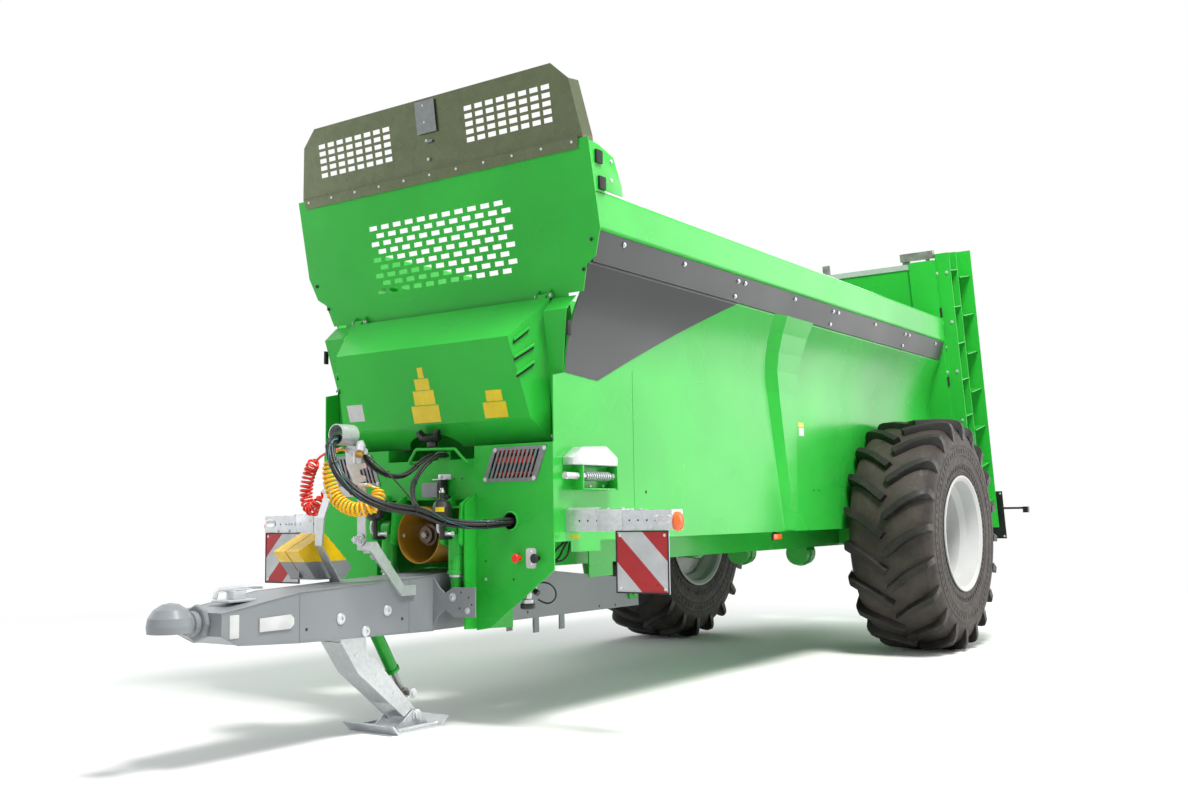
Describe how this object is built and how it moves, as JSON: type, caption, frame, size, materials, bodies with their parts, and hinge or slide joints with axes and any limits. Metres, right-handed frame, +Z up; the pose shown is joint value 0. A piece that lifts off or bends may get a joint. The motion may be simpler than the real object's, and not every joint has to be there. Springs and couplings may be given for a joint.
{
  "type": "manure spreader",
  "caption": "Towed manure spreader with a narrow box body, a scraper floor, a lifting tailgate, vertical beaters, lugged tyres and a drawbar on a parking stand.",
  "frame": {"origin": "middle of the machine's width and length, at ground level under the wheels", "axes": "+X the machine's left side, +Y rearward (away from the drawbar), +Z up"},
  "size_m": [2.946, 8.4492, 3.371],
  "materials": {
    "green_paint": "gloss",
    "grey_paint": "satin",
    "galvanised": "spangled zinc",
    "white_rim": "satin",
    "tyre_rubber": "matt",
    "steel": "machined",
    "marker_sheet": "retroreflective stripes",
    "amber_lens": "lens",
    "guard_plastic": "moulded",
    "black_plastic": "moulded",
    "hose_rubber": "braided cover",
    "red_plastic": "moulded",
    "yellow_plastic": "moulded"
  },
  "bodies": {
    "root": {"accumulators": "black_plastic", "air_line_red": "red_plastic", "air_line_yellow": "yellow_plastic", "axle": "green_paint", "beater_gearbox": "green_paint", "brake_chambers": "green_paint", "chassis": "green_paint", "chock_tray": "grey_paint", "cowl": "green_paint", "cylinder_brackets": "green_paint", "drawbar": "grey_paint", "floor": "green_paint", "floor_chains": "steel", "floor_shafts": "steel", "front_frame": "green_paint", "gate_cylinders": "green_paint", "grilles": "galvanised", "headboard": "green_paint", "hitch": "grey_paint", "hood_hoses": "hose_rubber", "hose_holder": "galvanised", "hose_ring": "galvanised", "hoses": "hose_rubber", "lamp_arms": "black_plastic", "left_beater_frame": "green_paint", "left_rail": "green_paint", "left_side": "green_paint", "light_boards": "black_plastic", "marker_arms": "galvanised", "marker_boards": "marker_sheet", "marker_lamps": "amber_lens", "pto_guard": "guard_plastic", "rail_strips": "grey_paint", "rear_posts": "green_paint", "right_beater_frame": "green_paint", "right_rail": "green_paint", "right_side": "green_paint", "ring_hoses": "hose_rubber", "screen": "galvanised", "suspension_cylinders": "green_paint", "tensioners": "green_paint", "top_beam": "green_paint", "trim_panels": "grey_paint", "wheel_chocks": "yellow_plastic"},
    "left_wheel": {"left_tyre": "tyre_rubber", "left_rim": "white_rim"},
    "right_wheel": {"right_tyre": "tyre_rubber", "right_rim": "white_rim"},
    "hood": {"hood": "green_paint"},
    "stand_leg": {"stand_leg": "galvanised"},
    "stand_foot": {"stand_foot": "galvanised"},
    "stand_barrel": {"stand_barrel": "green_paint"},
    "stand_rod": {"stand_rod": "steel"},
    "tailgate": {"tailgate": "green_paint", "tailgate_cap": "galvanised", "tailgate_lift": "steel"},
    "left_beater": {"left_beater": "green_paint"},
    "right_beater": {"right_beater": "green_paint"},
    "pto_shaft": {"pto_shaft": "steel"}
  },
  "joints": [
    {"name": "left_wheel_spin", "type": "hinge", "parent": "root", "child": "left_wheel", "pos_m": [1.1525, 1.808, 0.8775], "axis": [1, 0, 0], "continuous": true},
    {"name": "right_wheel_spin", "type": "hinge", "parent": "root", "child": "right_wheel", "pos_m": [-1.1525, 1.808, 0.8775], "axis": [1, 0, 0], "continuous": true},
    {"name": "hood_hinge", "type": "hinge", "parent": "root", "child": "hood", "pos_m": [0, -2.388, 2.192], "axis": [-1, 0, 0], "range_deg": [0, 70]},
    {"name": "stand_fold", "type": "hinge", "parent": "root", "child": "stand_leg", "pos_m": [0, -3.142, 0.52], "axis": [1, 0, 0], "range_deg": [0, 32]},
    {"name": "stand_foot_tilt", "type": "hinge", "parent": "stand_leg", "child": "stand_foot", "pos_m": [0, -2.722, 0.062], "axis": [1, 0, 0], "range_deg": [-28, 15]},
    {"name": "stand_barrel_swing", "type": "hinge", "parent": "root", "child": "stand_barrel", "pos_m": [0, -3.022, 0.645], "axis": [1, 0, 0], "range_deg": [-3, 40]},
    {"name": "stand_rod_slide", "type": "slide", "parent": "stand_barrel", "child": "stand_rod", "axis": [0, 0.5211, -0.8535], "range_m": [-0.11, 0.01]},
    {"name": "tailgate_slide", "type": "slide", "parent": "root", "child": "tailgate", "axis": [0, -0.1961, 0.9806], "range_m": [0, 1.25]},
    {"name": "left_beater_spin", "type": "hinge", "parent": "root", "child": "left_beater", "pos_m": [0.488, 3.75674, 1.11375], "axis": [0, -0.1961, 0.9806], "continuous": true},
    {"name": "right_beater_spin", "type": "hinge", "parent": "root", "child": "right_beater", "pos_m": [-0.488, 3.75674, 1.11375], "axis": [0, -0.1961, 0.9806], "continuous": true},
    {"name": "pto_spin", "type": "hinge", "parent": "root", "child": "pto_shaft", "pos_m": [0, -2.422, 0.967], "axis": [0, 1, 0], "continuous": true}
  ],
  "couplings": [
    {"joint": "stand_barrel_swing", "follows": "stand_fold", "ratio": 1.008},
    {"joint": "stand_rod_slide", "follows": "stand_fold", "m_per_rad": -0.17099},
    {"joint": "right_beater_spin", "follows": "left_beater_spin", "ratio": -1}
  ]
}
